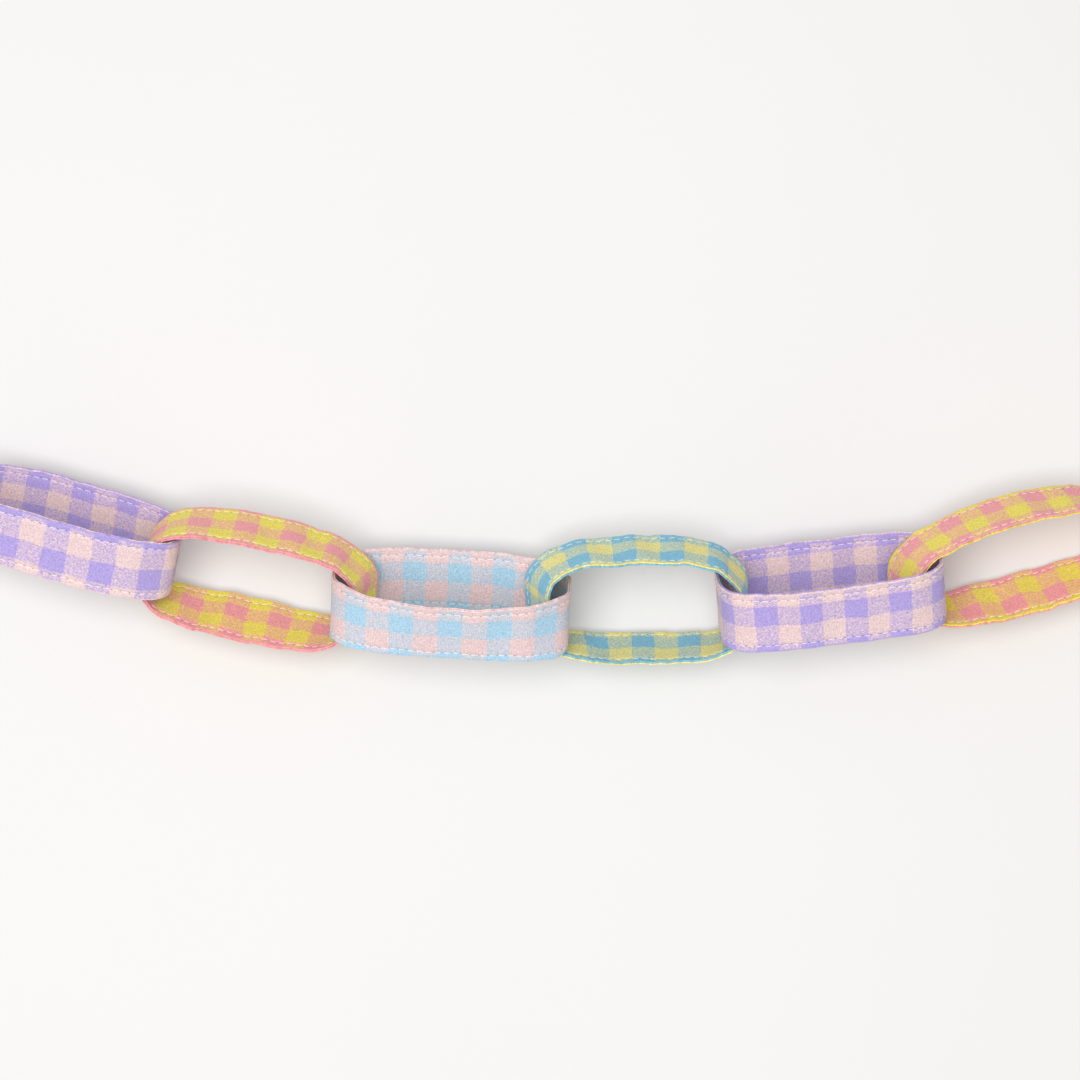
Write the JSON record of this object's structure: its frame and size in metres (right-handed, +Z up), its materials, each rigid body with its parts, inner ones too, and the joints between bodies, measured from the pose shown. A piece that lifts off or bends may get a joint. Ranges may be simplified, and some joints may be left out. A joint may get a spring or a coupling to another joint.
{
  "type": "fabric chain garland",
  "caption": "Garland of linked cloth loops made like a paper chain, each a doubled strip of pastel gingham cotton with topstitched edges, lying in a gentle curve.",
  "frame": {"origin": "middle of the footprint, on the level surface that the garland lies on", "axes": "+X along the garland, +Y across it towards the side that its two ends curve to, +Z up"},
  "size_m": [0.4526, 0.0766, 0.0653],
  "materials": {
    "lilac_rose_gingham": "plain-woven gingham cotton, matt",
    "pink_lime_gingham": "plain-woven gingham cotton, matt",
    "sky_rose_gingham": "plain-woven gingham cotton, matt",
    "blue_yellow_gingham": "plain-woven gingham cotton, matt"
  },
  "bodies": {
    "root": {"link_1_outer_band": "lilac_rose_gingham", "link_1_inner_band": "lilac_rose_gingham", "link_2_outer_band": "pink_lime_gingham", "link_2_inner_band": "pink_lime_gingham", "link_3_outer_band": "sky_rose_gingham", "link_3_inner_band": "sky_rose_gingham", "link_4_outer_band": "blue_yellow_gingham", "link_4_inner_band": "blue_yellow_gingham", "link_5_outer_band": "lilac_rose_gingham", "link_5_inner_band": "lilac_rose_gingham", "link_6_outer_band": "pink_lime_gingham", "link_6_inner_band": "pink_lime_gingham"}
  },
  "joints": []
}
